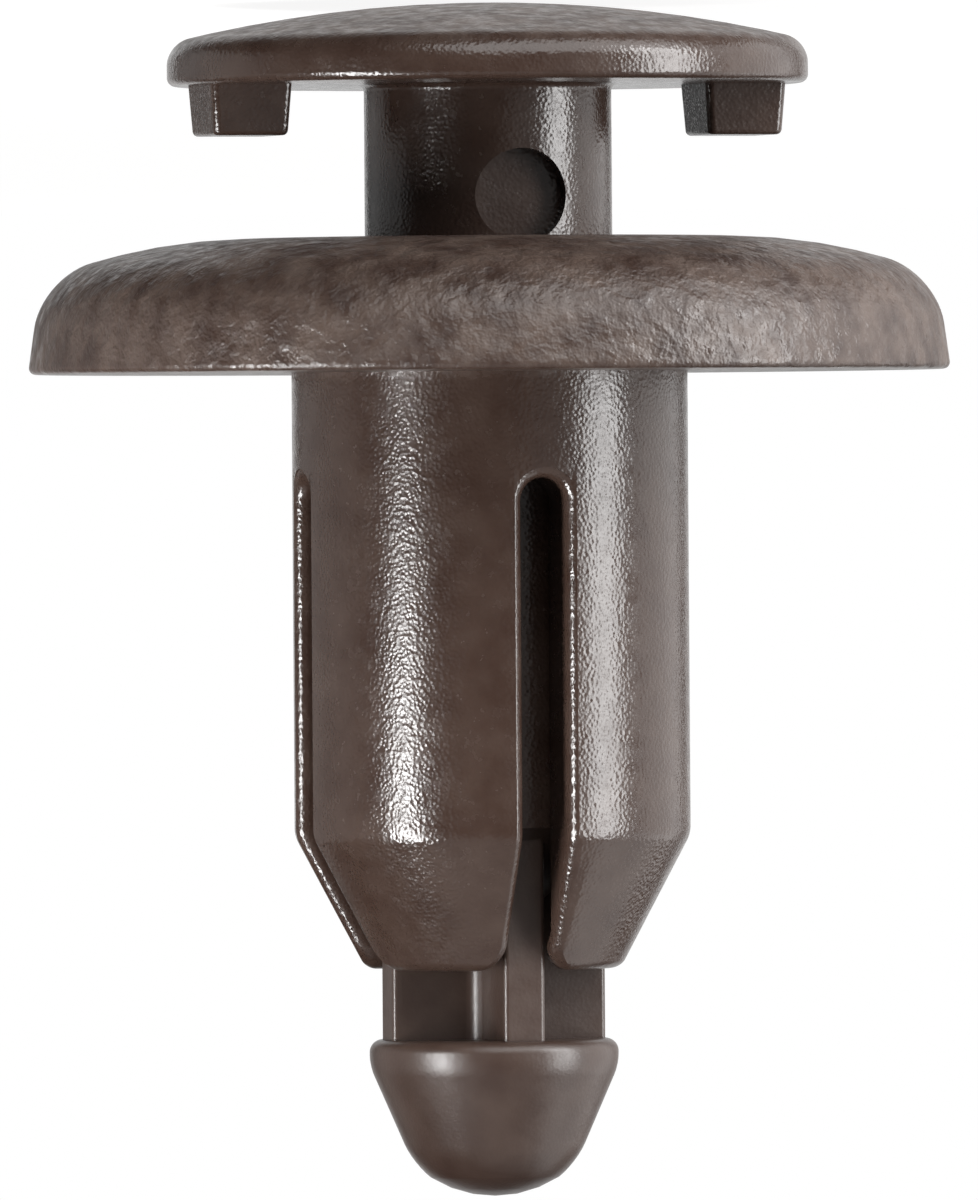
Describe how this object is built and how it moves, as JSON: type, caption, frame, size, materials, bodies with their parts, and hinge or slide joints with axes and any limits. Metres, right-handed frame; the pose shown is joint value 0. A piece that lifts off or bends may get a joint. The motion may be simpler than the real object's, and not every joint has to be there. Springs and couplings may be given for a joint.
{
  "type": "plastic push rivet",
  "caption": "Two-piece plastic push rivet: a crowned push pin standing part way out of a round flanged grommet with four slotted, tapered legs.",
  "frame": {"origin": "on the rivet's axis, at the top of the crown of the pin's head, which the rivet stands on", "axes": "+Z along the rivet's axis from the head to the nose, +X through the feet under the head, +Y through the recesses in the shank"},
  "size_m": [0.0186, 0.0186, 0.0241],
  "materials": {
    "pin_moulding": "moulded taupe nylon, fine spark-eroded texture, slight sheen",
    "grommet_moulding": "moulded taupe nylon, coarser texture, handled and lightly mottled"
  },
  "bodies": {
    "grommet": {"grommet": "grommet_moulding"},
    "pin": {"pin": "pin_moulding"}
  },
  "joints": [
    {"name": "pin_slide", "type": "slide", "parent": "grommet", "child": "pin", "axis": [0, 0, 1], "range_m": [-0.0014, 0.00205]}
  ]
}
